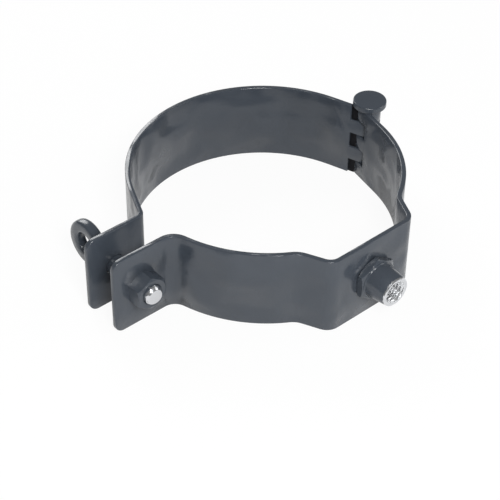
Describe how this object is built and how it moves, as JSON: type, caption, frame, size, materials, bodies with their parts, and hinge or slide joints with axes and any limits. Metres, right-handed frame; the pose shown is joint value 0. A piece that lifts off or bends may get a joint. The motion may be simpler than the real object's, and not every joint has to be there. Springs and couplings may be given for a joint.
{
  "type": "hinged pipe clamp",
  "caption": "Hinged band clamp for a pipe: half bands on a pin hinge, drawn together at their ears by an eye bolt, with a threaded boss for the hanging rod.",
  "frame": {"origin": "on the pipe axis, in the plane of the bands' lower edges", "axes": "+Z along the pipe, +X from the pipe axis to the hinge, -Y from the pipe axis to the boss"},
  "size_m": [0.1546, 0.134, 0.0378],
  "materials": {
    "grey_paint": "gloss"
  },
  "bodies": {
    "front_half": {"front_band": "grey_paint", "threaded_boss": "grey_paint"},
    "rear_half": {"rear_band": "grey_paint"},
    "pin": {"hinge_pin": "grey_paint"},
    "bolt": {"eye_bolt": "grey_paint"},
    "nut": {"clamp_nut": "grey_paint"}
  },
  "joints": [
    {"name": "rear_swing", "type": "hinge", "parent": "front_half", "child": "rear_half", "pos_m": [0.062, 0.003, 0], "axis": [0, 0, -1], "range_deg": [0, 120]},
    {"name": "pin_pull", "type": "slide", "parent": "front_half", "child": "pin", "axis": [0, 0, 1], "range_m": [0, 0.04]},
    {"name": "bolt_pull", "type": "slide", "parent": "rear_half", "child": "bolt", "axis": [0, 1, 0], "range_m": [0, 0.045]},
    {"name": "nut_off", "type": "slide", "parent": "front_half", "child": "nut", "axis": [0, -1, 0], "range_m": [0, 0.025]}
  ]
}
